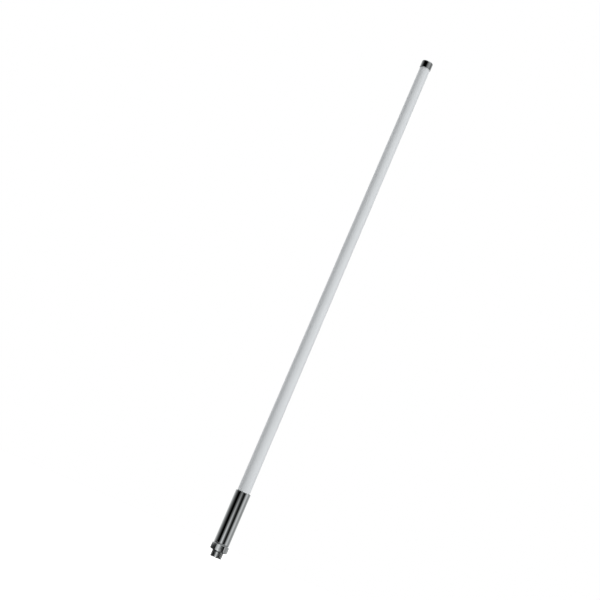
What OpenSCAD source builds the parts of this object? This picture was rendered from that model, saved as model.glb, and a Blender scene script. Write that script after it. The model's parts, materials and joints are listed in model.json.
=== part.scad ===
// Collinear omnidirectional antenna: an N-type socket and its jam nut, a plated mounting sleeve,
// a tapered glass-fibre radome and a plated tip cap, with the radiating stack inside.
// Millimetres. The origin is the centre of the socket's rim, and +Z runs towards the tip.

/* [Socket and nut] */
// Major diameter of the socket's 5/8-24 thread
thread_d = 15.875; // [15.8:0.005:15.95]
// Length of thread left free below the nut for a cable plug
free_thread = 8.5; // [8:0.1:12]
// Width of the jam nut across its flats
nut_flats = 22.2; // [20.4:0.1:22.4]
// Diameter that the nut's corners are turned down to
nut_corner_d = 24.4; // [23:0.1:24.8]
// Height of the jam nut
nut_h = 9.3; // [6:0.1:12]
// Clock angle of the nut's corners at rest
nut_angle = 1.5; // [-30:0.5:30]
// Thickness of the lock washer
washer_t = 1.2; // [0.8:0.1:2]
// Outside diameter of the lock washer
washer_d = 20.2; // [18.6:0.1:20.4]
// Number of teeth inside the lock washer
washer_teeth = 14; // [8:1:18]

/* [Mounting sleeve] */
// Outside diameter of the sleeve
sleeve_d = 20.8; // [20.4:0.1:24]
// Length of the sleeve
sleeve_len = 73; // [65:1:100]
// Thickness of the sleeve's threaded floor
floor_t = 10; // [8:0.5:12]

/* [Radome] */
// Outside diameter of the tube where it leaves the sleeve
tube_base_d = 17.5; // [17.2:0.1:17.6]
// Outside diameter of the tube at its tip
tube_tip_d = 14.4; // [14:0.1:17.2]
// Wall thickness of the tube
tube_wall = 2; // [1.5:0.1:2.2]
// Overall length of the antenna, from the socket's rim to the top of the cap
overall_len = 735; // [720:1:900]

/* [Tip cap] */
// Length of the cap that shows
cap_len = 10.5; // [8:0.5:14]
// Thickness of the cap's crown
cap_crown = 2; // [1.5:0.1:3]
// Wall thickness of the cap's skirt
cap_wall = 0.7; // [0.5:0.05:1]

/* [Radiating stack] */
// Number of half-wave sections
sections = 8; // [2:1:8]
// Length of one section's tube
section_len = 60; // [50:1:60]
// Gap between neighbouring sections, bridged by a crossover
section_gap = 4; // [3:0.5:5]
// Length of the quarter-wave choke and of the top whip
quarter_wave = 31; // [25:1:32]
// Height of the open mouth of the choke above the socket's rim
choke_mouth_z = 110; // [105:1:112]

/* [Hidden] */
$fn = 96;
cut = 1;

// Socket
thread_r = thread_d / 2;
thread_pitch = 25.4 / 24;
thread_groove = 0.45;
thread_depth = 0.35;
running_gap = 0.05;
rim_chamfer = 0.6;
thread_count = floor((free_thread - rim_chamfer - thread_groove) / thread_pitch);
relief_len = 1.2;
relief_depth = 0.7;
mating_bore_r = 4.05;
mating_depth = 9.1;
bead_bore_r = 3.5;
insulator_z = 10.5;
contact_r = 1.52;
contact_tip_z = 4.35;
contact_chamfer = 0.3;
contact_slot = 0.25;
contact_slots = 4;
contact_slot_len = 5;
pin_bore_r = 0.82;
pin_bore_len = 6;

// Nut and lock washer
nut_face_step = 0.5;
nut_chamfer_angle = 40;
bore_lead = 0.5;
notch_depth = 0.7;
notch_w = 1.6;

// Heights of the stacked seats
nut_z = free_thread;
washer_z = nut_z + nut_h;
seat_z = washer_z + washer_t;
shoulder_z = seat_z + floor_t;
sleeve_top_z = seat_z + sleeve_len;

// Shell behind the shoulder
flange_r = 8.75;
flange_t = 4.5;
o_ring_section = 1.2;
o_ring_play = 0.04;
o_ring_groove_z = shoulder_z + 1.4;
o_ring_groove_h = 1.6;
back_web_z = shoulder_z + 2.5;
back_gap = 0.5;
barrel_r = 5;
barrel_len = 4;
barrel_top_z = shoulder_z + flange_t + barrel_len;
insulator_top_z = back_web_z - back_gap;
contact_top_z = insulator_top_z - back_gap;
solder_cup_len = 3.5;

// Sleeve
sleeve_r = sleeve_d / 2;
sleeve_bore_r = 8.8;
sleeve_chamfer = 0.5;
tube_foot_gap = 8;
tube_foot_z = shoulder_z + tube_foot_gap;

// Radome and cap
tube_base_r = tube_base_d / 2;
tube_tip_r = tube_tip_d / 2;
tube_tip_z = overall_len - cap_crown;
cap_skirt_z = overall_len - cap_len;
cap_clearance = 0.03;
cap_bore_r = radome_r(cap_skirt_z) + cap_clearance;
cap_r = cap_bore_r + cap_wall;
cap_fillet = 1.5;
spigot_len = 13;
spigot_gap = 0.3;
spigot_r = tube_tip_r - tube_wall - spigot_gap;
cap_ring_z = tube_tip_z - spigot_len / 2;
cap_ring_h = 1.6;

// Feed line and choke
feed_r = 1.8;
feed_bore_r = 1.5;
feed_wire_r = 0.46;
solder_gap = 0.04;
choke_r = 5;
choke_wall = 0.4;
choke_lid = 1;
choke_top_z = choke_mouth_z + quarter_wave;
choke_spacer_z = choke_mouth_z + 1;
choke_spacer_h = 4;

// Radiating stack
section_pitch = section_len + section_gap;
stack_z = choke_top_z + section_gap;
stack_top_z = stack_z + sections * section_pitch - section_gap;
radiator_r = 3;
radiator_wall = 0.4;
wire_r = 0.6;
link_r = 0.25;
bead_h = 5;
bead_inset = 8;
ring_h = 8;
whip_r = 1.5;
whip_end_z = stack_top_z + quarter_wave;
pocket_len = 8;
cushion_len = 30;
cushion_z = whip_end_z - pocket_len;

function radome_r(z) =
    z < sleeve_top_z ? tube_base_r
    : tube_base_r - (tube_base_r - tube_tip_r) * (z - sleeve_top_z) / (tube_tip_z - sleeve_top_z);

function bore_r(z) = radome_r(z) - tube_wall;

function section_z(i) = stack_z + (i - 1) * section_pitch;

function numbered(stem) = [for (i = [1:sections]) str(stem, "_", i)];

// A round bar between two heights
module bar(r, z0, z1) {
    translate([0, 0, z0])
        cylinder(h = z1 - z0, r = r);
}

// A round tube between two heights
module pipe(r, bore, z0, z1) {
    difference() {
        bar(r, z0, z1);
        bar(bore, z0 - cut, z1 + cut);
    }
}

// A square-sided groove cut into the outside of a bar
module groove(r, depth, z0, z1) {
    pipe(r + cut, r - depth, z0, z1);
}

// A ring of round section lying level at height z
module o_ring(mid_r, section, z) {
    translate([0, 0, z])
        rotate_extrude()
            translate([mid_r, 0])
                circle(d = section, $fn = 48);
}

// The grooves of the coupling thread, drawn as rings so that the crests stay true cylinders
module thread_rings() {
    for (i = [1:thread_count])
        translate([0, 0, rim_chamfer + i * thread_pitch - thread_groove])
            rotate_extrude()
                polygon([
                    [thread_r - thread_depth, 0],
                    [thread_r, -thread_groove / 2],
                    [thread_r + cut, -thread_groove / 2],
                    [thread_r + cut, thread_groove / 2],
                    [thread_r, thread_groove / 2]
                ]);
}

// Socket body: thread, sealed flange and the barrel that takes the feed line
module connector_shell() {
    color("silver")
        difference() {
            union() {
                cylinder(h = rim_chamfer, r1 = thread_r - rim_chamfer, r2 = thread_r);
                bar(thread_r, rim_chamfer, shoulder_z);
                bar(flange_r, shoulder_z, shoulder_z + flange_t);
                bar(barrel_r, shoulder_z + flange_t, barrel_top_z);
            }
            thread_rings();
            groove(thread_r, relief_depth, nut_z, nut_z + relief_len);
            groove(flange_r, flange_r - sleeve_bore_r + o_ring_section,
                   o_ring_groove_z, o_ring_groove_z + o_ring_groove_h);
            bar(mating_bore_r, -cut, mating_depth);
            bar(bead_bore_r, mating_depth - cut, back_web_z);
            bar(feed_r + solder_gap, back_web_z - cut, barrel_top_z + cut);
        }
}

// PTFE support of the centre contact
module connector_insulator() {
    color("white")
        pipe(bead_bore_r, contact_r, insulator_z, insulator_top_z);
}

// Slotted socket contact with a solder cup behind it
module centre_contact() {
    color("gold")
        difference() {
            union() {
                translate([0, 0, contact_tip_z])
                    cylinder(h = contact_chamfer, r1 = contact_r - contact_chamfer, r2 = contact_r);
                bar(contact_r, contact_tip_z + contact_chamfer, contact_top_z);
            }
            bar(pin_bore_r, contact_tip_z - cut, contact_tip_z + pin_bore_len);
            bar(feed_wire_r + solder_gap, contact_top_z - solder_cup_len, contact_top_z + cut);
            for (i = [1:contact_slots])
                rotate(i * 360 / contact_slots)
                    translate([0, -contact_slot / 2, contact_tip_z - cut])
                        cube([contact_r + cut, contact_slot, contact_slot_len + cut]);
        }
}

// Weather seal around the shell's flange
module shell_o_ring() {
    color("dimgray")
        o_ring(sleeve_bore_r - o_ring_section / 2, o_ring_section - o_ring_play,
               o_ring_groove_z + o_ring_groove_h / 2);
}

// Hexagon nut with turned corners and both faces chamfered, running on the thread
module jam_nut() {
    face_r = nut_flats / 2 - nut_face_step;
    corner_r = nut_corner_d / 2;
    rise = (corner_r - face_r) * tan(nut_chamfer_angle);
    color("silver")
        difference() {
            intersection() {
                translate([0, 0, nut_z])
                    rotate(nut_angle)
                        cylinder(h = nut_h, r = nut_flats / sqrt(3), $fn = 6);
                rotate_extrude()
                    polygon([
                        [0, nut_z],
                        [face_r, nut_z],
                        [corner_r, nut_z + rise],
                        [corner_r, washer_z - rise],
                        [face_r, washer_z],
                        [0, washer_z]
                    ]);
            }
            bar(thread_r + running_gap, nut_z - cut, washer_z + cut);
            translate([0, 0, nut_z - bore_lead])
                cylinder(h = 2 * bore_lead, r1 = thread_r + 2 * bore_lead, r2 = thread_r);
        }
}

// Lock washer with teeth cut into its bore
module lock_washer() {
    tooth_r = thread_r + running_gap;
    color("silver")
        difference() {
            pipe(washer_d / 2, tooth_r, washer_z, seat_z);
            for (i = [1:washer_teeth])
                rotate(i * 360 / washer_teeth)
                    translate([tooth_r - cut, -notch_w / 2, washer_z - cut])
                        cube([cut + notch_depth, notch_w, washer_t + 2 * cut]);
        }
}

// Mounting sleeve: a threaded floor for the shell and a deep bore for the radome's foot
module base_ferrule() {
    color("silver")
        rotate_extrude()
            polygon([
                [thread_r + running_gap, seat_z],
                [sleeve_r - sleeve_chamfer, seat_z],
                [sleeve_r, seat_z + sleeve_chamfer],
                [sleeve_r, sleeve_top_z - sleeve_chamfer],
                [sleeve_r - sleeve_chamfer, sleeve_top_z],
                [sleeve_bore_r, sleeve_top_z],
                [sleeve_bore_r, shoulder_z],
                [thread_r + running_gap, shoulder_z]
            ]);
}

// Glass-fibre tube: a straight foot inside the sleeve, then an even taper to the tip
module radome_tube() {
    color("whitesmoke")
        rotate_extrude()
            polygon([
                [bore_r(tube_foot_z), tube_foot_z],
                [radome_r(tube_foot_z), tube_foot_z],
                [radome_r(sleeve_top_z), sleeve_top_z],
                [radome_r(tube_tip_z), tube_tip_z],
                [bore_r(tube_tip_z), tube_tip_z],
                [bore_r(sleeve_top_z), sleeve_top_z]
            ]);
}

// Plated cup over the tip, with a grooved spigot inside the tube
module top_cap() {
    color("silver")
        difference() {
            rotate_extrude()
                union() {
                    translate([0, cap_skirt_z])
                        square([cap_r, cap_len - cap_fillet]);
                    translate([0, cap_skirt_z])
                        square([cap_r - cap_fillet, cap_len]);
                    translate([cap_r - cap_fillet, overall_len - cap_fillet])
                        circle(r = cap_fillet, $fn = 48);
                    translate([0, tube_tip_z - spigot_len])
                        square([spigot_r, spigot_len]);
                }
            pipe(cap_bore_r, spigot_r, cap_skirt_z - cut, tube_tip_z);
            groove(spigot_r, o_ring_section - spigot_gap, cap_ring_z, cap_ring_z + cap_ring_h);
        }
}

// Seal around the cap's spigot
module cap_o_ring() {
    color("dimgray")
        o_ring(tube_tip_r - tube_wall - o_ring_section / 2, o_ring_section - o_ring_play,
               cap_ring_z + cap_ring_h / 2);
}

// Semi-rigid feed line, from the shell's barrel to the lid of the choke
module feed_outer() {
    color("peru")
        pipe(feed_r, feed_bore_r, back_web_z + back_gap, choke_top_z);
}

module feed_dielectric() {
    color("white")
        pipe(feed_bore_r, feed_wire_r, back_web_z + back_gap, choke_top_z);
}

module feed_conductor() {
    color("silver")
        bar(feed_wire_r, contact_top_z - solder_cup_len, choke_top_z);
}

// Quarter-wave cup, open downwards, its lid soldered round the feed line
module choke_sleeve() {
    color("goldenrod")
        difference() {
            bar(choke_r, choke_mouth_z, choke_top_z);
            bar(choke_r - choke_wall, choke_mouth_z - cut, choke_top_z - choke_lid);
            bar(feed_r + solder_gap, choke_mouth_z, choke_top_z + cut);
        }
}

module choke_spacer() {
    color("white")
        pipe(choke_r - choke_wall, feed_r, choke_spacer_z, choke_spacer_z + choke_spacer_h);
}

// One half-wave tube of the stack
module radiator_tube(i) {
    color("goldenrod")
        pipe(radiator_r, radiator_r - radiator_wall, section_z(i), section_z(i) + section_len);
}

// The wire inside one section
module inner_conductor(i) {
    color("silver")
        bar(wire_r, section_z(i), section_z(i) + section_len);
}

// A wire that slants from one distance off the axis to another across a gap between sections
module link(x0, x1, z0) {
    lean = atan2(x1 - x0, section_gap);
    intersection() {
        translate([x0, 0, z0])
            rotate([0, lean, 0])
                translate([0, 0, -cut])
                    cylinder(h = section_gap / cos(lean) + 2 * cut, r = link_r, $fn = 24);
        translate([-2 * radiator_r, -radiator_r, z0])
            cube([4 * radiator_r, 2 * radiator_r, section_gap]);
    }
}

// The pair of wires that swaps inner and outer conductors below one section
module crossover(i) {
    wall_r = radiator_r - radiator_wall / 2;
    lower_r = i == 1 ? (feed_r + feed_bore_r) / 2 : wall_r;
    color("silver") {
        link(0, wall_r, section_z(i) - section_gap);
        link(-lower_r, 0, section_z(i) - section_gap);
    }
}

// Foam ring that fills the space between one section and the radome's bore
module centring_ring(i) {
    z = section_z(i) + (section_len - ring_h) / 2;
    color("lightsteelblue")
        pipe(bore_r(z + ring_h) - running_gap, radiator_r, z, z + ring_h);
}

// Two beads in each section, near its ends
module dielectric_beads() {
    color("white")
        for (i = [1:sections])
            for (z = [bead_inset, section_len - bead_inset - bead_h])
                pipe(radiator_r - radiator_wall, wire_r,
                     section_z(i) + z, section_z(i) + z + bead_h);
}

// Rod that ends the stack, soldered on the last section's wire
module top_whip() {
    color("goldenrod")
        bar(whip_r, stack_top_z, whip_end_z);
}

// Foam plug with a pocket for the whip's end
module tip_cushion() {
    color("lightsteelblue")
        difference() {
            bar(bore_r(cushion_z + cushion_len) - running_gap, cushion_z, cushion_z + cushion_len);
            bar(whip_r, cushion_z - cut, whip_end_z);
        }
}

connector_shell();
connector_insulator();
centre_contact();
shell_o_ring();
jam_nut();
lock_washer();
base_ferrule();
radome_tube();
top_cap();
cap_o_ring();
feed_outer();
feed_dielectric();
feed_conductor();
choke_sleeve();
choke_spacer();
for (i = [1:sections]) {
    radiator_tube(i);
    inner_conductor(i);
    crossover(i);
    centring_ring(i);
}
dielectric_beads();
top_whip();
tip_cushion();
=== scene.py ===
"""Looks of the collinear omnidirectional antenna.

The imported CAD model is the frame. The pieces that show are built again here as fine meshes, with
true threads, twisted washer teeth and rounded edges, and the sealed pieces keep their CAD shapes.
Every piece gets a procedural material. Metres, with the origin at the centre of the socket's rim.
"""
import json
import math

import bmesh
import bpy
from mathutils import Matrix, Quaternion, Vector


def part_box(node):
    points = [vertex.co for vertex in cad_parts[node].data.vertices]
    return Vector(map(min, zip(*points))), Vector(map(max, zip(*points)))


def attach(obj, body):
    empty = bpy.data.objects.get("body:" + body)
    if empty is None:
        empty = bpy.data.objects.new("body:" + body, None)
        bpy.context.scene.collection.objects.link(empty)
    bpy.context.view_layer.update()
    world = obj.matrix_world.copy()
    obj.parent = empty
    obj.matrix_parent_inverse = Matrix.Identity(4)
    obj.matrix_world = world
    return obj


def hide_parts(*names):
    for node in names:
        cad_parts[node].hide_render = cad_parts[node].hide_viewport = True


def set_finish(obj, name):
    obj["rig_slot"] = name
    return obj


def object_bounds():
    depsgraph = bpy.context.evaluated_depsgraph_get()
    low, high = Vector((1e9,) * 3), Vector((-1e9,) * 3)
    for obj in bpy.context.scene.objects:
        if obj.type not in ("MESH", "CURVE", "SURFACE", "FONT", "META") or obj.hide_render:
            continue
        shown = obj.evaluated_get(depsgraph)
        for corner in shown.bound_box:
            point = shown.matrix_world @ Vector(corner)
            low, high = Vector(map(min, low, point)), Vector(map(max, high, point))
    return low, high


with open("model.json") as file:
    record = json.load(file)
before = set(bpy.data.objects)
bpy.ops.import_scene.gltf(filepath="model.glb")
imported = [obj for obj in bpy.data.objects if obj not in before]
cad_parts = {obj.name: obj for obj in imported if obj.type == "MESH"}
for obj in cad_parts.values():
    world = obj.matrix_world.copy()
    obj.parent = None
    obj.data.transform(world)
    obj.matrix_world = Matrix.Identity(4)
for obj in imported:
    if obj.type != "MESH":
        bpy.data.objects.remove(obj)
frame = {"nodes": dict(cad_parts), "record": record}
cad_low, cad_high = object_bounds()

MM = 0.001
FULL_TURN = 2 * math.pi

# Mesh building
TURNED_COLUMNS = 128
THREADED_COLUMNS = 96
ARC_GUARD = 0.12 * MM
MERGE_DISTANCE = 0.001 * MM
SAME_HEIGHT = 0.01 * MM
SMOOTH_LIMIT = math.radians(30)


# ---------------------------------------------------------------- sizes

def heights(node):
    """Lowest and highest height of a CAD node."""
    low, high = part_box(node)
    return low.z, high.z


def radius(node):
    """Largest radius of a turned CAD node."""
    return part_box(node)[1].x


def radius_at(node, height):
    """Outside radius of a CAD node at one of the heights where its mesh has vertices."""
    points = [v.co for v in frame["nodes"][node].data.vertices]
    level = [p.xy.length for p in points if abs(p.z - height) < SAME_HEIGHT]
    return max(level)


# Heights of the seats, from the socket's rim to the tip
RIM_Z, BARREL_TOP_Z = heights("connector_shell")
NUT_Z, WASHER_Z = heights("jam_nut")
SEAT_Z, SLEEVE_TOP_Z = heights("base_ferrule")
TUBE_FOOT_Z, TUBE_TIP_Z = heights("radome_tube")
SPIGOT_Z, TIP_Z = heights("top_cap")

# Coupling thread, 5/8-24, right-hand
PITCH = 25.4 / 24 * MM
THREAD_R = 15.875 / 2 * MM
THREAD_DEPTH = 0.4 * MM
THREAD_PLAY = 0.06 * MM
THREAD_END_Z = SEAT_Z + 1 * MM
BORE_GAP = 0.05 * MM
# Share of one pitch, and share of the thread's depth there
THREAD_FORM = ((0.00, 0.04), (0.03, 0.0), (0.06, 0.0), (0.34, 0.0), (0.37, 0.0), (0.40, 0.04),
               (0.59, 0.92), (0.62, 1.0), (0.65, 1.0), (0.76, 1.0), (0.79, 1.0), (0.82, 0.92))

# Socket
RIM_CHAMFER = 0.6 * MM
RELIEF_LEN = 1.2 * MM
RELIEF_DEPTH = 0.7 * MM
RELIEF_SLOPE = 0.2 * MM
RUN_OUT = 0.3 * MM
MOUTH_EDGE = 0.3 * MM
MATING_BORE_R = 4.05 * MM
MATING_DEPTH = 9.1 * MM
BEAD_BORE_R = 3.5 * MM
SHOULDER_Z = SEAT_Z + 10 * MM
FLANGE_R = 8.75 * MM
FLANGE_T = 4.5 * MM
SEAL_GROOVE_Z = SHOULDER_Z + 1.4 * MM
SEAL_GROOVE_H = 1.6 * MM
SEAL_GROOVE_R = 7.6 * MM
BACK_WEB_Z = SHOULDER_Z + 2.5 * MM
BARREL_R = 5 * MM
FEED_HOLE_R = 1.84 * MM

# Nut
NUT_ANGLE = math.radians(1.5)
NUT_HALF_FLATS = 22.2 / 2 * MM
NUT_FACE_R = NUT_HALF_FLATS - 0.5 * MM
NUT_CHAMFER_SLOPE = math.tan(math.radians(40))
NUT_CROWN_R = 22 * MM
NUT_CORNER_FILLET = 2.0 * MM
NUT_LEAD = 0.5 * MM
NUT_LEAD_R = THREAD_R + BORE_GAP + NUT_LEAD
NUT_LEAD_EDGE = 0.1 * MM
NUT_FACE_EDGE = 0.25 * MM
NUT_CHAMFER_EDGE = 0.05 * MM

# Washer
WASHER_R = radius("lock_washer")
WASHER_TEETH = 14
TOOTH_R = THREAD_R + BORE_GAP
TOOTH_ROOT_R = TOOTH_R + 0.7 * MM
TOOTH_TWIST = 0.08 * MM
WASHER_GAP = 0.02 * MM
WASHER_BEVEL = 0.15 * MM
WASHER_BEVEL_DROP = 0.12 * MM

# Sleeve and radome
SLEEVE_R = radius("base_ferrule")
SLEEVE_BORE_R = 8.8 * MM
SLEEVE_EDGE = 0.45 * MM
BORE_EDGE = 0.2 * MM
RADOME_R = radius("radome_tube")
RADOME_TIP_R = radius_at("radome_tube", TUBE_TIP_Z)
RADOME_WALL = 2 * MM
RADOME_EDGE = 0.4 * MM
RADOME_RINGS = 24

# Cap
CAP_R = radius("top_cap")
CAP_LEN = 10.5 * MM
CAP_SKIRT_Z = TIP_Z - CAP_LEN
CAP_WALL = 0.7 * MM
CAP_FILLET = 1.5 * MM
CAP_LIP_EDGE = 0.25 * MM
CAP_BORE_EDGE = 0.15 * MM
SPIGOT_R = radius_at("top_cap", SPIGOT_Z)
SPIGOT_EDGE = 0.4 * MM
CAP_RING_Z = TUBE_TIP_Z - 6.5 * MM
CAP_RING_H = 1.6 * MM
CAP_RING_DEPTH = 0.9 * MM


# ---------------------------------------------------------------- mesh building

def rounded(outline, steps=4):
    """An outline whose corners become arcs. A corner is (r, z) or (r, z, fillet radius). A point
    is added just outside each end of an arc, so that smooth shading leaves long walls straight."""
    corners = [(Vector(c[:2]), c[2] if len(c) > 2 else 0) for c in outline]
    points = []
    for i, (corner, fillet) in enumerate(corners):
        if fillet == 0:
            points.append(corner)
            continue
        back = (corners[i - 1][0] - corner).normalized()
        next_corner = corners[(i + 1) % len(corners)][0]
        ahead = (next_corner - corner).normalized()
        half = back.angle(ahead) / 2
        centre = corner + (back + ahead).normalized() * fillet / math.sin(half)
        start = corner + back * fillet / math.tan(half) - centre
        end = corner + ahead * fillet / math.tan(half) - centre
        sweep = math.pi - 2 * half
        arc = []
        for step in range(steps + 1):
            along = sweep * step / steps
            spoke = (start * math.sin(sweep - along) + end * math.sin(along)) / math.sin(sweep)
            arc.append(centre + spoke)
        before = arc[0] + back * min(ARC_GUARD, (corners[i - 1][0] - arc[0]).length / 3)
        after = arc[-1] + ahead * min(ARC_GUARD, (next_corner - arc[-1]).length / 3)
        points += [before, *arc, after]
    return points


def even_angles(count):
    """Angles that split one full turn evenly."""
    return [FULL_TURN * i / count for i in range(count)]


def piece(name, mesh, body, slot, *nodes):
    """Makes an object of a finished bmesh, which rides on a body and stands for CAD nodes."""
    bmesh.ops.remove_doubles(mesh, verts=mesh.verts, dist=MERGE_DISTANCE)
    bmesh.ops.recalc_face_normals(mesh, faces=mesh.faces)
    data = bpy.data.meshes.new(name)
    mesh.to_mesh(data)
    mesh.free()
    data.shade_smooth()
    data.set_sharp_from_angle(angle=SMOOTH_LIMIT)
    made = bpy.data.objects.new(name, data)
    bpy.context.scene.collection.objects.link(made)
    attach(made, body)
    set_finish(made, slot)
    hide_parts(*nodes)
    return made


def revolved(column, angles):
    """A closed mesh whose outline at each angle is column(angle), a loop of (r, z) points.
    The last column repeats the first, one turn on, so that a thread runs across the seam. An edge
    that lies on the axis makes no face."""
    mesh = bmesh.new()
    rows = []
    for angle in [*angles, angles[0] + FULL_TURN]:
        ray = Vector((math.cos(angle), math.sin(angle)))
        rows.append([(r, mesh.verts.new((ray.x * r, ray.y * r, z))) for r, z in column(angle)])
    for here, there in zip(rows, rows[1:]):
        for i in range(len(here)):
            on_axis = here[i - 1][0] == 0 and here[i][0] == 0
            if not on_axis:
                mesh.faces.new((here[i - 1][1], here[i][1], there[i][1], there[i - 1][1]))
    return mesh


def turned(outline):
    """A closed mesh turned from one outline. Its corners may have fillets."""
    points = rounded(outline)
    return revolved(lambda angle: points, even_angles(TURNED_COLUMNS))


def cell_shell(columns, rows, solid, place):
    """A closed mesh of cells that wrap round the axis. solid(i, j) says which cells are there,
    and place(i, j, side) gives one corner on either of the two skins."""
    mesh = bmesh.new()
    corners = {}

    def corner(i, j, side):
        key = (i % columns, j, side)
        if key not in corners:
            corners[key] = mesh.verts.new(place(*key))
        return corners[key]

    def there(i, j):
        return 0 <= j < rows and solid(i % columns, j)

    for i in range(columns):
        for j in filter(lambda row: there(i, row), range(rows)):
            loop = [(i, j), (i + 1, j), (i + 1, j + 1), (i, j + 1)]
            beyond = [(i, j - 1), (i + 1, j), (i, j + 1), (i - 1, j)]
            mesh.faces.new([corner(*p, 0) for p in loop])
            mesh.faces.new([corner(*p, 1) for p in reversed(loop)])
            for k, neighbour in enumerate(beyond):
                if not there(*neighbour):
                    a, b = loop[k], loop[(k + 1) % 4]
                    mesh.faces.new([corner(*a, 0), corner(*a, 1), corner(*b, 1), corner(*b, 0)])
    return mesh


# ---------------------------------------------------------------- thread

def thread_drop(angle, z):
    """Depth of the thread below its crest at one angle and height."""
    share = (z / PITCH - angle / FULL_TURN) % 1
    form = [*THREAD_FORM, (1.0, THREAD_FORM[0][1])]
    for (a, drop_a), (b, drop_b) in zip(form, form[1:]):
        if a <= share <= b:
            return THREAD_DEPTH * (drop_a + (drop_b - drop_a) * (share - a) / (b - a))
    return 0


def thread_points(angle, start_angle, low, high, crest_r, limit=None):
    """Points up one side of the thread at one angle. Every column has as many points, and those
    past an end gather on it. limit(z) is the largest radius, as at a chamfer."""
    first = math.floor(low / PITCH - start_angle / FULL_TURN) - 1
    last = math.ceil(high / PITCH - start_angle / FULL_TURN)
    points = []
    for turn in range(first, last + 1):
        for share, _ in THREAD_FORM:
            z = PITCH * (turn + share + angle / FULL_TURN)
            z = low if z < low + SAME_HEIGHT else high if z > high - SAME_HEIGHT else z
            r = crest_r - thread_drop(angle, z)
            points.append((min(r, limit(z)) if limit else r, z))
    return points


# ---------------------------------------------------------------- pieces

def make_radome():
    """The white tube, straight inside the sleeve and tapering from there to the tip."""
    rise = (TUBE_TIP_Z - SLEEVE_TOP_Z) / RADOME_RINGS
    taper = (RADOME_R - RADOME_TIP_R) / RADOME_RINGS
    outer = [(RADOME_R - taper * i, SLEEVE_TOP_Z + rise * i) for i in range(RADOME_RINGS)]
    mesh = turned([
        (RADOME_R - RADOME_WALL, TUBE_FOOT_Z, RADOME_EDGE),
        (RADOME_R, TUBE_FOOT_Z, RADOME_EDGE),
        *outer,
        (RADOME_TIP_R, TUBE_TIP_Z, RADOME_EDGE),
        (RADOME_TIP_R - RADOME_WALL, TUBE_TIP_Z, RADOME_EDGE),
        *[(r - RADOME_WALL, z) for r, z in reversed(outer)],
    ])
    return piece("radome", mesh, "antenna", "radome_white", "radome_tube")


def make_sleeve():
    """The mounting sleeve, whose floor the socket is screwed into."""
    mesh = turned([
        (THREAD_R + BORE_GAP, SEAT_Z, BORE_EDGE),
        (SLEEVE_R, SEAT_Z, SLEEVE_EDGE),
        (SLEEVE_R, SLEEVE_TOP_Z, SLEEVE_EDGE),
        (SLEEVE_BORE_R, SLEEVE_TOP_Z, BORE_EDGE),
        (SLEEVE_BORE_R, SHOULDER_Z),
        (THREAD_R + BORE_GAP, SHOULDER_Z),
    ])
    return piece("mounting_sleeve", mesh, "antenna", "mirror_plate", "base_ferrule")


def make_cap():
    """The tip cap, with a skirt over the tube and a grooved spigot inside it."""
    bore_r = CAP_R - CAP_WALL
    mesh = turned([
        (0, SPIGOT_Z),
        (SPIGOT_R, SPIGOT_Z, SPIGOT_EDGE),
        (SPIGOT_R, CAP_RING_Z),
        (SPIGOT_R - CAP_RING_DEPTH, CAP_RING_Z),
        (SPIGOT_R - CAP_RING_DEPTH, CAP_RING_Z + CAP_RING_H),
        (SPIGOT_R, CAP_RING_Z + CAP_RING_H),
        (SPIGOT_R, TUBE_TIP_Z),
        (bore_r, TUBE_TIP_Z),
        (bore_r, CAP_SKIRT_Z, CAP_BORE_EDGE),
        (CAP_R, CAP_SKIRT_Z, CAP_LIP_EDGE),
        (CAP_R, TIP_Z, CAP_FILLET),
        (0, TIP_Z),
    ])
    return piece("tip_cap", mesh, "antenna", "mirror_plate", "top_cap")


def make_shell():
    """The socket's shell, with its coupling thread, relief groove and sealing flange."""
    angles = even_angles(THREADED_COLUMNS)
    relief_top = NUT_Z + RELIEF_LEN

    def rim(z):
        return THREAD_R - RIM_CHAMFER + z

    def column(angle):
        return [
            *[tuple(p) for p in rounded([
                (FEED_HOLE_R, BACK_WEB_Z),
                (BEAD_BORE_R, BACK_WEB_Z),
                (BEAD_BORE_R, MATING_DEPTH),
                (MATING_BORE_R, MATING_DEPTH),
                (MATING_BORE_R, RIM_Z, MOUTH_EDGE),
                (THREAD_R - RIM_CHAMFER, RIM_Z),
            ])],
            *thread_points(angle, angles[0], RIM_Z, NUT_Z, THREAD_R, rim),
            (THREAD_R - RELIEF_DEPTH, NUT_Z + RELIEF_SLOPE),
            (THREAD_R - RELIEF_DEPTH, relief_top - RELIEF_SLOPE),
            *thread_points(angle, angles[0], relief_top, THREAD_END_Z, THREAD_R),
            (THREAD_R, THREAD_END_Z + RUN_OUT),
            (THREAD_R, SHOULDER_Z),
            (FLANGE_R, SHOULDER_Z),
            (FLANGE_R, SEAL_GROOVE_Z),
            (SEAL_GROOVE_R, SEAL_GROOVE_Z),
            (SEAL_GROOVE_R, SEAL_GROOVE_Z + SEAL_GROOVE_H),
            (FLANGE_R, SEAL_GROOVE_Z + SEAL_GROOVE_H),
            (FLANGE_R, SHOULDER_Z + FLANGE_T),
            (BARREL_R, SHOULDER_Z + FLANGE_T),
            (BARREL_R, BARREL_TOP_Z),
            (FEED_HOLE_R, BARREL_TOP_Z),
        ]

    mesh = revolved(column, angles)
    return piece("socket_shell", mesh, "antenna", "mirror_plate", "connector_shell")


def reach(centre, circle_r, angle):
    """Distance from the axis to a circle, at an angle from the ray its centre stands on."""
    return centre * math.cos(angle) + math.sqrt(circle_r ** 2 - (centre * math.sin(angle)) ** 2)


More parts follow.
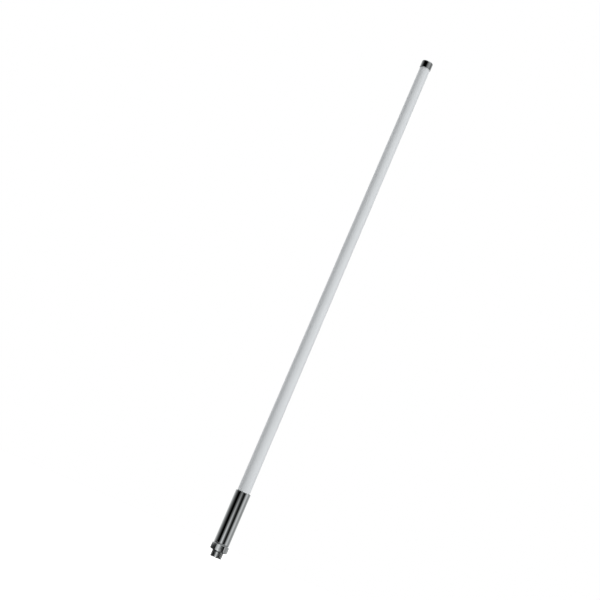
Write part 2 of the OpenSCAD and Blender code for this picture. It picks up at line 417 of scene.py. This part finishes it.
def nut_outline(offset):
    """Radius of the nut at an angle from the middle of a flat. Polishing has crowned the flats
    a little and rounded the corners, so both are arcs, and they meet without a step."""
    sixth = math.pi / 6
    crown_centre = NUT_HALF_FLATS - NUT_CROWN_R
    corner_centre = reach(crown_centre, NUT_CROWN_R - NUT_CORNER_FILLET, sixth)
    corner = Vector((math.cos(sixth), math.sin(sixth))) * corner_centre
    meeting = corner + (corner - Vector((crown_centre, 0))).normalized() * NUT_CORNER_FILLET
    if abs(offset) <= math.atan2(meeting.y, meeting.x):
        return reach(crown_centre, NUT_CROWN_R, offset)
    return reach(corner_centre, NUT_CORNER_FILLET, sixth - abs(offset))


def make_nut():
    """The jam nut. Its columns are close together round the corners, and 4 degrees apart on the
    flats. The lead-in stands clear of the shell's thread where the nut's own thread begins."""
    side = [-30, -29.5, -29, -28.5, -28, -26, *range(-24, 26, 4), 26, 28, 28.5, 29, 29.5]
    angles = [NUT_ANGLE + math.radians(60 * k + 30 + a) for k in range(6) for a in side]
    clear_r = THREAD_R + THREAD_PLAY
    thread_low = NUT_Z + NUT_LEAD
    thread_high = WASHER_Z - NUT_LEAD

    def column(angle):
        offset = (angle - NUT_ANGLE) % (math.pi / 3) - math.pi / 6
        r = nut_outline(offset)
        rise = (r - NUT_FACE_R) * NUT_CHAMFER_SLOPE
        return [
            *[tuple(p) for p in rounded([
                (NUT_LEAD_R, WASHER_Z),
                (NUT_LEAD_R - NUT_LEAD_EDGE, NUT_Z, NUT_LEAD_EDGE),
                (NUT_FACE_R, NUT_Z, NUT_FACE_EDGE),
                (r, NUT_Z + rise, NUT_CHAMFER_EDGE),
                (r, WASHER_Z - rise, NUT_CHAMFER_EDGE),
                (NUT_FACE_R, WASHER_Z, NUT_FACE_EDGE),
                (NUT_LEAD_R - NUT_LEAD_EDGE, WASHER_Z),
            ])][1:],
            (clear_r, thread_high),
            *reversed(thread_points(angle, angles[0], thread_low, thread_high, clear_r)),
            (clear_r, thread_low),
        ]

    return piece("hexagon_nut", revolved(column, angles), "nut", "mirror_plate", "jam_nut")


def make_washer():
    """The lock washer: three rings of cells, of which the inner one is cut into twisted teeth."""
    per_tooth = 8
    tooth_cells = 5
    radii = [TOOTH_R, TOOTH_ROOT_R, WASHER_R - WASHER_BEVEL, WASHER_R]
    middle = (WASHER_Z + SEAT_Z) / 2
    half = (SEAT_Z - WASHER_Z) / 2 - WASHER_GAP

    def solid(i, j):
        return j > 0 or i % per_tooth < tooth_cells

    def place(i, j, side):
        share = (i % per_tooth) / tooth_cells
        angle = FULL_TURN * i / (per_tooth * WASHER_TEETH)
        twist = TOOTH_TWIST * (1 - 2 * share) if j == 0 else 0
        thin = WASHER_BEVEL_DROP if j in (0, 3) else 0
        z = middle + twist + (half - thin) * (1 if side else -1)
        return radii[j] * math.cos(angle), radii[j] * math.sin(angle), z

    mesh = cell_shell(per_tooth * WASHER_TEETH, 3, solid, place)
    return piece("toothed_washer", mesh, "washer", "washer_steel", "lock_washer")


# ---------------------------------------------------------------- materials

def add(tree, kind, inputs=None, **settings):
    """A new shader node with its settings and its inputs, each a value or another's output."""
    made = tree.nodes.new("ShaderNode" + kind)
    for name, value in settings.items():
        setattr(made, name, value)
    for name, value in (inputs or {}).items():
        if isinstance(value, bpy.types.NodeSocket):
            tree.links.new(value, made.inputs[name])
        else:
            made.inputs[name].default_value = value
    return made


def maths(tree, operation, a, b=0.0):
    """The result of one sum on two values."""
    return add(tree, "Math", {0: a, 1: b}, operation=operation).outputs[0]


def blended(tree, factor, a, b):
    """A colour between two others."""
    mix = add(tree, "Mix", {0: factor, 6: a, 7: b}, data_type="RGBA")
    return mix.outputs[2]


def remapped(tree, value, low, high, to_low=0.0, to_high=1.0):
    """A value moved from one range to another, and held inside it."""
    names = {"Value": value, "From Min": low, "From Max": high, "To Min": to_low, "To Max": to_high}
    return add(tree, "MapRange", names).outputs[0]


def place_in_object(tree, stretch=(1, 1, 1)):
    """Object coordinates, stretched along the axes."""
    coordinates = add(tree, "TexCoord").outputs["Object"]
    return add(tree, "Mapping", {"Vector": coordinates, "Scale": stretch}).outputs[0]


def noise(tree, scale, stretch=(1, 1, 1), detail=3.0, roughness=0.5):
    """Fractal noise in object space. scale is in cycles a metre."""
    inputs = {"Vector": place_in_object(tree, stretch), "Scale": scale, "Detail": detail,
              "Roughness": roughness}
    return add(tree, "TexNoise", inputs).outputs[0]


def off_axis(tree):
    """Distance from the antenna's axis."""
    place = add(tree, "SeparateXYZ", {0: add(tree, "TexCoord").outputs["Object"]})
    square = maths(tree, "ADD", maths(tree, "POWER", place.outputs[0], 2.0),
                   maths(tree, "POWER", place.outputs[1], 2.0))
    return maths(tree, "SQRT", square)


def height_above_rim(tree):
    """Height above the socket's rim."""
    return add(tree, "SeparateXYZ", {0: add(tree, "TexCoord").outputs["Object"]}).outputs[2]


def surface(name, paint):
    """A material whose nodes paint(tree) makes. It returns the inputs of the Principled shader."""
    made = bpy.data.materials.new(name)
    made.use_nodes = True
    tree = made.node_tree
    tree.nodes.clear()
    shader = add(tree, "BsdfPrincipled", paint(tree))
    output = tree.nodes.new("ShaderNodeOutputMaterial")
    tree.links.new(shader.outputs[0], output.inputs[0])
    return made


def bump(tree, height, depth, strength=1.0):
    """A normal from a height of 0 to 1, where depth is in metres."""
    return add(tree, "Bump", {"Height": height, "Distance": depth, "Strength": strength}).outputs[0]


def gel_coat(tree):
    """Satin white gel coat over glass fibre: faint strands along the tube, dust and handling, and
    painted shade darkening the foot where it leaves the sleeve.
    """
    cloud = noise(tree, 14, detail=4)
    strands = noise(tree, 900, (1, 1, 0.03), detail=2)
    tone = blended(tree, remapped(tree, cloud, 0.35, 0.65), (0.745, 0.772, 0.79, 1),
                   (0.77, 0.797, 0.815, 1))
    tone = blended(tree, remapped(tree, strands, 0.45, 0.75, 0, 0.05), tone, (0.62, 0.64, 0.66, 1))
    specks = add(tree, "TexVoronoi", {"Vector": place_in_object(tree), "Scale": 150.0})
    speck = remapped(tree, specks.outputs["Distance"], 0.03, 0.05, 0.12, 0)
    tone = blended(tree, speck, tone, (0.35, 0.34, 0.32, 1))
    height = height_above_rim(tree)
    # Dust and painted shade: the tube is painted darker within 1.5 mm above the sleeve, where the
    # sleeve shades it.
    foot_dust_and_shade = remapped(tree, height, SLEEVE_TOP_Z, SLEEVE_TOP_Z + 1.5 * MM, 0.3, 0)
    tone = blended(tree, foot_dust_and_shade, tone, (0.42, 0.42, 0.41, 1))
    peel = noise(tree, 700, detail=2)
    texture = maths(tree, "ADD", maths(tree, "MULTIPLY", peel, 0.6),
                    maths(tree, "MULTIPLY", strands, 0.4))
    return {
        "Base Color": tone,
        "Roughness": remapped(tree, noise(tree, 60, detail=5), 0.3, 0.7, 0.32, 0.40),
        "Specular IOR Level": 0.45,
        "Coat Weight": 0.25,
        "Coat Roughness": 0.2,
        "Normal": bump(tree, texture, 0.03 * MM, 0.25),
    }


def thread_root(tree):
    """1 in the roots of the coupling thread and 0 on its crests and everywhere else."""
    off = off_axis(tree)
    deep = remapped(tree, off, THREAD_R - 0.12 * MM, THREAD_R - 0.03 * MM, 1, 0)
    outside = remapped(tree, off, THREAD_R - 1.5 * MM, THREAD_R - 1.0 * MM)
    low = remapped(tree, height_above_rim(tree), SEAT_Z, SHOULDER_Z, 1, 0)
    return maths(tree, "MULTIPLY", maths(tree, "MULTIPLY", deep, outside), low)


def mirror_plate(tree):
    """Bright nickel-chrome plate over turned brass: fine lathe lines, wiping marks, fingerprints,
    and painted shade with grime in the thread roots.
    """
    lines = noise(tree, 60, (1, 1, 90), detail=3)
    smudge = noise(tree, 95, detail=5, roughness=0.6)
    wipes = noise(tree, 260, (1, 1, 0.12), detail=2)
    scratch = remapped(tree, noise(tree, 420, (1, 1, 0.05), detail=1), 0.72, 0.76)
    # Painted shade and grime: the roots of the coupling thread are painted almost black, and made
    # rougher.
    root_shade_and_grime = maths(tree, "MULTIPLY", thread_root(tree), 0.85)
    film = remapped(tree, smudge, 0.45, 0.7, 0, 0.25)
    tone = blended(tree, film, (0.66, 0.685, 0.69, 1), (0.54, 0.56, 0.55, 1))
    tone = blended(tree, root_shade_and_grime, tone, (0.07, 0.067, 0.06, 1))
    rough = maths(tree, "ADD", remapped(tree, smudge, 0.4, 0.7, 0.012, 0.035),
                  remapped(tree, wipes, 0.5, 0.8, 0, 0.01))
    rough = maths(tree, "ADD", rough, maths(tree, "MULTIPLY", scratch, 0.08))
    rough = maths(tree, "ADD", rough, maths(tree, "MULTIPLY", root_shade_and_grime, 0.25))
    texture = maths(tree, "SUBTRACT", lines, maths(tree, "MULTIPLY", scratch, 0.6))
    return {
        "Base Color": tone,
        "Metallic": 1.0,
        "Roughness": rough,
        "Normal": bump(tree, texture, 0.00025 * MM, 0.5),
    }


def washer_steel(tree):
    """Zinc-plated spring steel: rolled grain and dull patches."""
    grain = noise(tree, 500, (1, 0.15, 1), detail=3)
    patch = noise(tree, 300, detail=4)
    tone = blended(tree, remapped(tree, patch, 0.4, 0.6), (0.42, 0.43, 0.44, 1),
                   (0.55, 0.55, 0.54, 1))
    return {
        "Base Color": tone,
        "Metallic": 1.0,
        "Roughness": remapped(tree, grain, 0.3, 0.7, 0.24, 0.42),
        "Normal": bump(tree, grain, 0.01 * MM, 0.6),
    }


def contact_gold(tree):
    """Hard gold plate with lathe lines and a duller, worn mouth."""
    lines = noise(tree, 80, (1, 1, 80), detail=2)
    wear = noise(tree, 900, detail=4)
    mouth = remapped(tree, height_above_rim(tree), 4.3 * MM, 5.2 * MM, 0.7, 0)
    dull = maths(tree, "MULTIPLY", mouth, remapped(tree, wear, 0.4, 0.6))
    return {
        "Base Color": blended(tree, dull, (0.95, 0.66, 0.26, 1), (0.72, 0.55, 0.30, 1)),
        "Metallic": 1.0,
        "Roughness": remapped(tree, lines, 0.3, 0.7, 0.14, 0.28),
        "Normal": bump(tree, lines, 0.004 * MM, 0.5),
    }


def ptfe(tree):
    """Waxy white PTFE with faint tool marks."""
    marks = noise(tree, 90, (1, 1, 60), detail=3)
    cloud = noise(tree, 250, detail=3)
    return {
        "Base Color": blended(tree, remapped(tree, cloud, 0.3, 0.7), (0.82, 0.82, 0.80, 1),
                              (0.90, 0.90, 0.88, 1)),
        "Roughness": remapped(tree, marks, 0.3, 0.7, 0.42, 0.58),
        "Subsurface Weight": 0.15,
        "Subsurface Radius": (0.6 * MM, 0.6 * MM, 0.5 * MM),
        "Subsurface Scale": 1.0,
        "Normal": bump(tree, marks, 0.01 * MM, 0.4),
    }


def seal_rubber(tree):
    """Black nitrile rubber with bloom and moulding grain."""
    bloom = noise(tree, 400, detail=4)
    grain = noise(tree, 5000, detail=2)
    return {
        "Base Color": blended(tree, remapped(tree, bloom, 0.45, 0.7), (0.018, 0.018, 0.019, 1),
                              (0.055, 0.054, 0.052, 1)),
        "Roughness": remapped(tree, grain, 0.3, 0.7, 0.55, 0.75),
        "Normal": bump(tree, grain, 0.02 * MM, 0.4),
    }


def drawn_metal(bright, tarnished, rough):
    """A drawn tube or wire: lines along it, and tarnish in patches."""
    def paint(tree):
        lines = noise(tree, 1500, (1, 1, 0.02), detail=3)
        patch = noise(tree, 70, detail=5, roughness=0.6)
        return {
            "Base Color": blended(tree, remapped(tree, patch, 0.42, 0.68), bright, tarnished),
            "Metallic": 1.0,
            "Roughness": maths(tree, "ADD", remapped(tree, lines, 0.3, 0.7, rough, rough + 0.12),
                               remapped(tree, patch, 0.4, 0.7, 0, 0.15)),
            "Normal": bump(tree, lines, 0.006 * MM, 0.5),
        }
    return paint


def spacer_foam(tree):
    """Closed-cell foam: skin of small cells over a soft blue-grey body."""
    cells = add(tree, "TexVoronoi", {"Vector": place_in_object(tree), "Scale": 1400.0})
    cell = cells.outputs["Distance"]
    return {
        "Base Color": blended(tree, remapped(tree, cell, 0.1, 0.7), (0.38, 0.43, 0.48, 1),
                              (0.62, 0.66, 0.70, 1)),
        "Roughness": 0.85,
        "Normal": bump(tree, cell, 0.15 * MM, 0.6),
    }


def paint_all(made):
    """Gives every new piece and every CAD node that still shows its material."""
    paints = {
        "radome_white": gel_coat,
        "mirror_plate": mirror_plate,
        "washer_steel": washer_steel,
        "contact_gold": contact_gold,
        "ptfe": ptfe,
        "seal_rubber": seal_rubber,
        "feed_copper": drawn_metal((0.80, 0.42, 0.27, 1), (0.42, 0.22, 0.14, 1), 0.22),
        "silvered_wire": drawn_metal((0.82, 0.81, 0.78, 1), (0.45, 0.42, 0.36, 1), 0.18),
        "bare_brass": drawn_metal((0.74, 0.56, 0.26, 1), (0.40, 0.29, 0.15, 1), 0.20),
        "spacer_foam": spacer_foam,
    }
    finishes = {slot: surface(slot, paint) for slot, paint in paints.items()}
    for new_piece in made:
        new_piece.data.materials.append(finishes[new_piece["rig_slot"]])
    for part in frame["record"]["subparts"]:
        for holder in frame["nodes"][part["node"]].material_slots:
            holder.material = finishes[part["material_slot"]]


# ---------------------------------------------------------------- studio

FLOOR_R = 9.0
FLOOR_GAP = 0.3 * MM
LAMP_SIZE = 0.8
LAMP_HEIGHT = 0.45
CAMERA_LENS = 92
CAMERA_PLACE = Vector((0, -2.0350, 0.02))
CAMERA_TARGET = Vector((-0.0320, 0, 0.3575))
CAMERA_ROLL = math.radians(23.36)


def studio_floor():
    """A wide pale floor just under the rim. It is clear from below, so the underside can be seen."""
    mesh = bmesh.new()
    bmesh.ops.create_circle(mesh, cap_ends=True, segments=64, radius=FLOOR_R)
    data = bpy.data.meshes.new("floor")
    mesh.to_mesh(data)
    mesh.free()
    floor = bpy.data.objects.new("floor", data)
    bpy.context.scene.collection.objects.link(floor)
    floor.location.z = cad_low.z - FLOOR_GAP
    floor.visible_glossy = False
    floor.visible_diffuse = False
    pale = bpy.data.materials.new("floor_paint")
    pale.use_nodes = True
    tree = pale.node_tree
    tree.nodes.clear()
    grain = noise(tree, 30, detail=4)
    tone = blended(tree, grain, (0.88, 0.88, 0.88, 1), (0.92, 0.92, 0.92, 1))
    matt = add(tree, "BsdfDiffuse", {"Color": tone})
    clear = add(tree, "BsdfTransparent")
    below = add(tree, "NewGeometry").outputs["Backfacing"]
    sides = add(tree, "MixShader", {0: below, 1: matt.outputs[0], 2: clear.outputs[0]})
    output = tree.nodes.new("ShaderNodeOutputMaterial")
    tree.links.new(sides.outputs[0], output.inputs[0])
    data.materials.append(pale)


def ramp(tree, factor, stops):
    """Grey levels along a factor from 0 to 1."""
    made = add(tree, "ValToRGB", {0: factor})
    elements = made.color_ramp.elements
    for place, level in stops[1:-1]:
        elements.new(place).color = (level, level, level, 1)
    for element, (place, level) in ((elements[0], stops[0]), (elements[-1], stops[-1])):
        element.position = place
        element.color = (level, level, level, 1)
    return made.outputs[0]


# What bright metal mirrors, by bearing in degrees round the axis (0 is the camera's side, 90 its
# right). SCREENS stand all round at the height of the sleeve, with dark flags between them.
# HIGH_SCREENS are what shows from 16 degrees up, and CEILING what shows from 49 degrees up. TABLE
# is a pale surface behind the camera, which fades a little above the horizon. LOW_FLAG stands on
# the left at the height of the nut, and LOW_SCREENS are what shows just below it, at the height
# of the coupling thread. GROUND is what shows from 24 degrees down.
SCREENS = ((-180, 0.75), (-150, 0.72), (-125, 0.50), (-105, 0.22), (-90, 0.12), (-75, 0.02),
           (-62, 0.0), (24, 0.0), (38, 0.012), (48, 0.16), (60, 0.55), (75, 0.75), (90, 0.52),
           (105, 0.33), (125, 0.42), (150, 0.6), (180, 0.75))
TABLE = ((-180, 0), (-42, 0), (-30, 0.18), (-22, 0.35), (-14, 0.60), (-7, 0.68), (0, 0.40),
         (7, 0.17), (14, 0.08), (22, 0.02), (28, 0), (180, 0))
HIGH_SCREENS = ((-180, 0.75), (-150, 0.75), (-128, 0.48), (-105, 0.22), (-85, 0.10), (-68, 0.01),
                (-50, 0.0), (-5, 0.0), (12, 0.14), (25, 0.30), (58, 0.42), (74, 0.34), (84, 0.18),
                (110, 0.20), (135, 0.5), (180, 0.75))
LOW_SCREENS = ((-180, 0.28), (-150, 0.20), (-110, 0.08), (-85, 0.01), (-70, 0.0), (-50, 0.02),
               (-38, 0.18), (-20, 0.80), (-8, 1.0), (2, 0.75), (19, 0.10), (32, 0.0), (60, 0.0),
               (75, 0.06), (90, 0.18), (110, 0.38), (135, 0.38), (180, 0.28))
CEILING = ((-180, 0.6), (-150, 0.6), (-125, 0.10), (-20, 0.10), (15, 1.0), (90, 1.0), (125, 0.06),
           (150, 0.6), (180, 0.6))
LOW_FLAG = ((-180, 0), (-175, 0), (-160, 1), (-75, 1), (-60, 0), (180, 0))
GROUND = ((-180, 0.03), (-110, 0.03), (-60, 0.5), (60, 0.5), (110, 0.03), (180, 0.03))

# Rises of a mirrored ray (the z of its direction) between which one row gives way to the next
ZENITH_RISE = (0.92, 0.97)
CEILING_RISE = (0.50, 0.75)
HIGH_RISE = (0.12, 0.28)
TABLE_RISE = (0.0, 0.035)
NUT_RISE = (-0.001, -0.0032)
THREAD_RISE = (-0.0060, -0.0070)
NEAR_HORIZON_RISE = (-0.04, -0.02)
GROUND_RISE = (-0.15, -0.40)
NADIR_RISE = (-0.90, -0.95)

# Strength of a row at each end of its rises
TABLE_STRENGTH = (1.3, 0.44)
LOW_FLAG_STRENGTH = (0, 0.85)
LOW_SCREENS_STRENGTH = 2.7


def mirrored_room(tree, bearing_share, z):
    """The screens and flags that bright metal mirrors, with a white zenith and a dark nadir."""
    screens, table, high_screens, low_screens, ceiling, low_flag, ground = [
        ramp(tree, bearing_share, [(b / 360 + 0.5, level) for b, level in row])
        for row in (SCREENS, TABLE, HIGH_SCREENS, LOW_SCREENS, CEILING, LOW_FLAG, GROUND)]
    near_horizon = remapped(tree, z, *NEAR_HORIZON_RISE)
    at_nut = maths(tree, "MULTIPLY", near_horizon,
                   remapped(tree, z, *NUT_RISE, *LOW_FLAG_STRENGTH))
    at_thread = maths(tree, "MULTIPLY", near_horizon, remapped(tree, z, *THREAD_RISE))
    table = maths(tree, "MULTIPLY", table, remapped(tree, z, *TABLE_RISE, *TABLE_STRENGTH))
    low_flag = maths(tree, "MULTIPLY", low_flag, at_nut)
    low_screens = maths(tree, "MULTIPLY", low_screens, LOW_SCREENS_STRENGTH)
    walls = maths(tree, "MULTIPLY", screens, maths(tree, "SUBTRACT", 1.0, low_flag))
    walls = maths(tree, "ADD", walls, table)
    walls = blended(tree, at_thread, walls, low_screens)
    walls = blended(tree, remapped(tree, z, *HIGH_RISE), walls, high_screens)
    ceiling = blended(tree, remapped(tree, z, *ZENITH_RISE), ceiling, (1, 1, 1, 1))
    room = blended(tree, remapped(tree, z, *CEILING_RISE), walls, ceiling)
    ground = blended(tree, remapped(tree, z, *NADIR_RISE), ground, (0.03, 0.03, 0.03, 1))
    return blended(tree, remapped(tree, z, *GROUND_RISE), room, ground)


def studio_world():
    """Soft light from above and all round. Mirrored rays see the screens and flags instead, and
    the camera itself sees plain white."""
    world = bpy.data.worlds.new("studio")
    bpy.context.scene.world = world
    world.use_nodes = True
    tree = world.node_tree
    tree.nodes.clear()
    way = add(tree, "SeparateXYZ", {0: add(tree, "TexCoord").outputs["Generated"]})
    x, y, z = way.outputs[:3]
    bearing = maths(tree, "ARCTAN2", x, maths(tree, "MULTIPLY", y, -1.0))
    bearing_share = maths(tree, "ADD", maths(tree, "DIVIDE", bearing, FULL_TURN), 0.5)
    path = add(tree, "LightPath").outputs
    soft = blended(tree, remapped(tree, z, 0.45, 0.60), (0.10, 0.10, 0.10, 1), (1.9, 1.9, 1.9, 1))
    light = blended(tree, path["Is Glossy Ray"], soft, mirrored_room(tree, bearing_share, z))
    shown = blended(tree, path["Is Camera Ray"], light, (1, 1, 1, 1))
    background = add(tree, "Background", {"Color": shown})
    output = tree.nodes.new("ShaderNodeOutputWorld")
    tree.links.new(background.outputs[0], output.inputs[0])


def soft_box(name, x, y, power):
    """A square lamp that lights matt surfaces and isn't mirrored in bright ones."""
    lamp = bpy.data.lights.new(name, "AREA")
    lamp.size = LAMP_SIZE
    lamp.energy = power
    made = bpy.data.objects.new(name, lamp)
    made.location = (x, y, LAMP_HEIGHT)
    made.rotation_mode = "QUATERNION"
    middle = Vector((0, 0, TIP_Z / 2))
    made.rotation_quaternion = (middle - made.location).to_track_quat("-Z", "Y")
    made.visible_glossy = False
    made.visible_camera = False
    bpy.context.scene.collection.objects.link(made)


def studio_lights():
    """A key lamp in front on the right, and a rim lamp behind on the left."""
    soft_box("key", 1.34, -1.49, 20.5)
    soft_box("rim", -1.71, 1.03, 19)


def make_camera():
    """Low in front, aimed a little to the left of the antenna, and rolled so that it leans."""
    lens = bpy.data.cameras.new("camera")
    lens.lens = CAMERA_LENS
    camera = bpy.data.objects.new("camera", lens)
    bpy.context.scene.collection.objects.link(camera)
    camera.location = CAMERA_PLACE
    aim = (CAMERA_TARGET - CAMERA_PLACE).to_track_quat("-Z", "Y")
    camera.rotation_mode = "QUATERNION"
    camera.rotation_quaternion = aim @ Quaternion((0, 0, 1), CAMERA_ROLL)
    bpy.context.scene.camera = camera


make_camera()
paint_all([make_radome(), make_sleeve(), make_cap(), make_shell(), make_nut(), make_washer()])
studio_floor()
studio_world()
studio_lights()
bpy.context.scene.view_settings.view_transform = "Standard"
